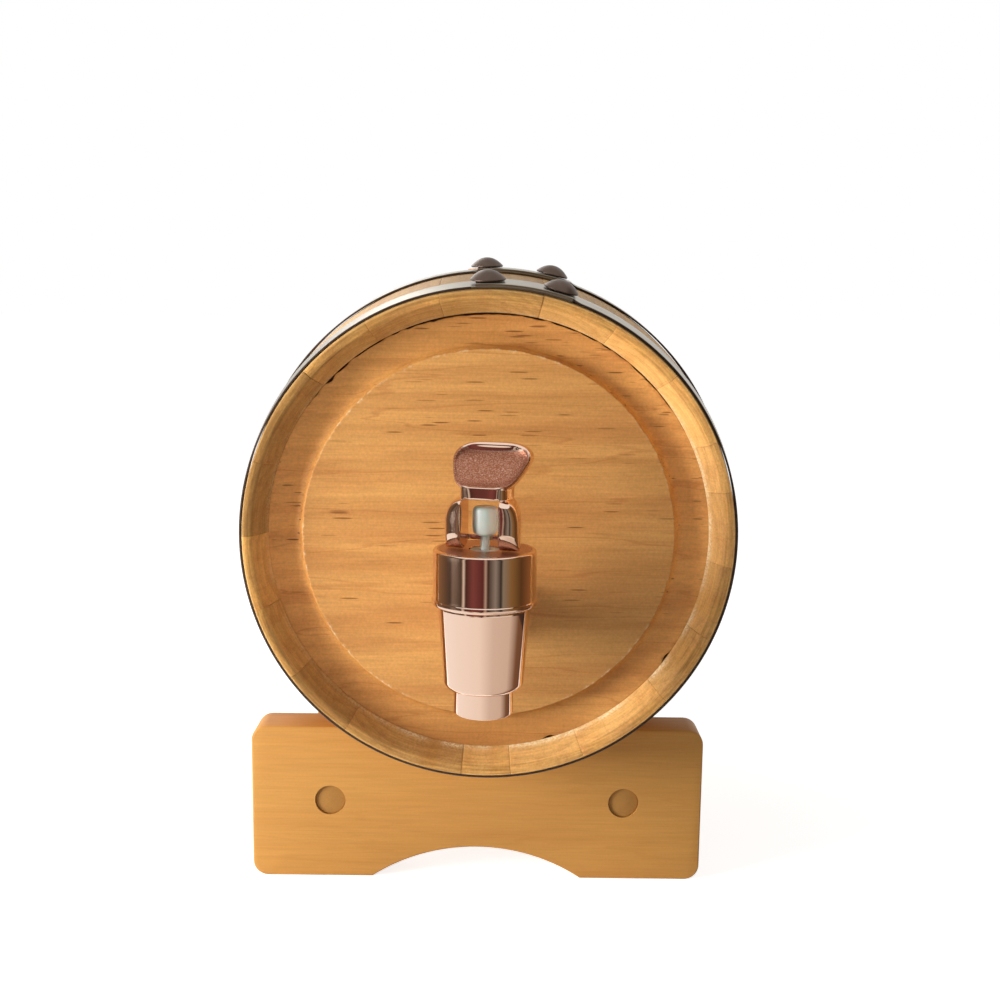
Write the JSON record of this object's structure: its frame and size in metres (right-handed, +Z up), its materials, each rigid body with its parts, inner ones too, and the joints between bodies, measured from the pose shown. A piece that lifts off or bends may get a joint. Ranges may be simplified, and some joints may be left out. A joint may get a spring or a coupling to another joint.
{
  "type": "wooden barrel",
  "caption": "Small wooden barrel of bulged staves and riveted steel hoops, lying on a stand of cradle plates and dowels, with a rose gold lever tap in its front head.",
  "frame": {"origin": "on the floor, under the middle of the whole object's box", "axes": "+Z up; -Y towards the tap's end, along the barrel; +X to the right as seen from the tap"},
  "size_m": [0.201, 0.3222, 0.2516],
  "materials": {
    "stave_wood": "satin",
    "head_wood": "satin",
    "stand_wood": "satin",
    "hoop_steel": "rolled, satin",
    "rivet_steel": "dark bronze",
    "rose_gold": "metallised, mirror bright",
    "milky_plastic": "translucent, satin",
    "silicone": "matt",
    "nut_plastic": "matt"
  },
  "bodies": {
    "stand": {"stand_front_plate": "stand_wood", "stand_rear_plate": "stand_wood", "stand_left_dowel": "stand_wood", "stand_right_dowel": "stand_wood"},
    "barrel": {"bung_stave": "stave_wood", "stave_01": "stave_wood", "stave_02": "stave_wood", "stave_03": "stave_wood", "stave_04": "stave_wood", "stave_05": "stave_wood", "stave_06": "stave_wood", "stave_07": "stave_wood", "stave_08": "stave_wood", "stave_09": "stave_wood", "stave_10": "stave_wood", "stave_11": "stave_wood", "stave_12": "stave_wood", "stave_13": "stave_wood", "stave_14": "stave_wood", "stave_15": "stave_wood", "stave_16": "stave_wood", "stave_17": "stave_wood", "stave_18": "stave_wood", "front_head": "head_wood", "rear_head": "head_wood", "front_head_hoop": "hoop_steel", "front_head_hoop_rivet_1": "rivet_steel", "front_head_hoop_rivet_2": "rivet_steel", "front_quarter_hoop": "hoop_steel", "front_quarter_hoop_rivet_1": "rivet_steel", "front_quarter_hoop_rivet_2": "rivet_steel", "rear_head_hoop": "hoop_steel", "rear_head_hoop_rivet_1": "rivet_steel", "rear_head_hoop_rivet_2": "rivet_steel", "rear_quarter_hoop": "hoop_steel", "rear_quarter_hoop_rivet_1": "rivet_steel", "rear_quarter_hoop_rivet_2": "rivet_steel", "tap_body": "rose_gold", "tap_bonnet": "rose_gold", "tap_gasket": "silicone", "tap_outer_washer": "silicone", "tap_inner_washer": "silicone", "tap_nut": "nut_plastic"},
    "bung": {"bung": "head_wood"},
    "tap_lever": {"tap_lever": "rose_gold"},
    "tap_plunger": {"tap_plunger": "milky_plastic", "tap_seat_cup": "silicone"}
  },
  "joints": [
    {"name": "barrel_lift", "type": "slide", "parent": "stand", "child": "barrel", "axis": [0, 0, 1], "range_m": [0, 0.12]},
    {"name": "bung_lift", "type": "slide", "parent": "barrel", "child": "bung", "axis": [0, 0, 1], "range_m": [0, 0.04]},
    {"name": "lever_turn", "type": "hinge", "parent": "barrel", "child": "tap_lever", "pos_m": [-0.00167, -0.14584, 0.1571], "axis": [0.9613, -0.2756, 0], "range_deg": [0, 28], "stiffness_Nm_per_rad": 0.1},
    {"name": "plunger_lift", "type": "slide", "parent": "barrel", "child": "tap_plunger", "axis": [0, 0, 1], "range_m": [0, 0.0027]}
  ],
  "couplings": [
    {"joint": "plunger_lift", "follows": "lever_turn", "m_per_rad": 0.0053}
  ]
}
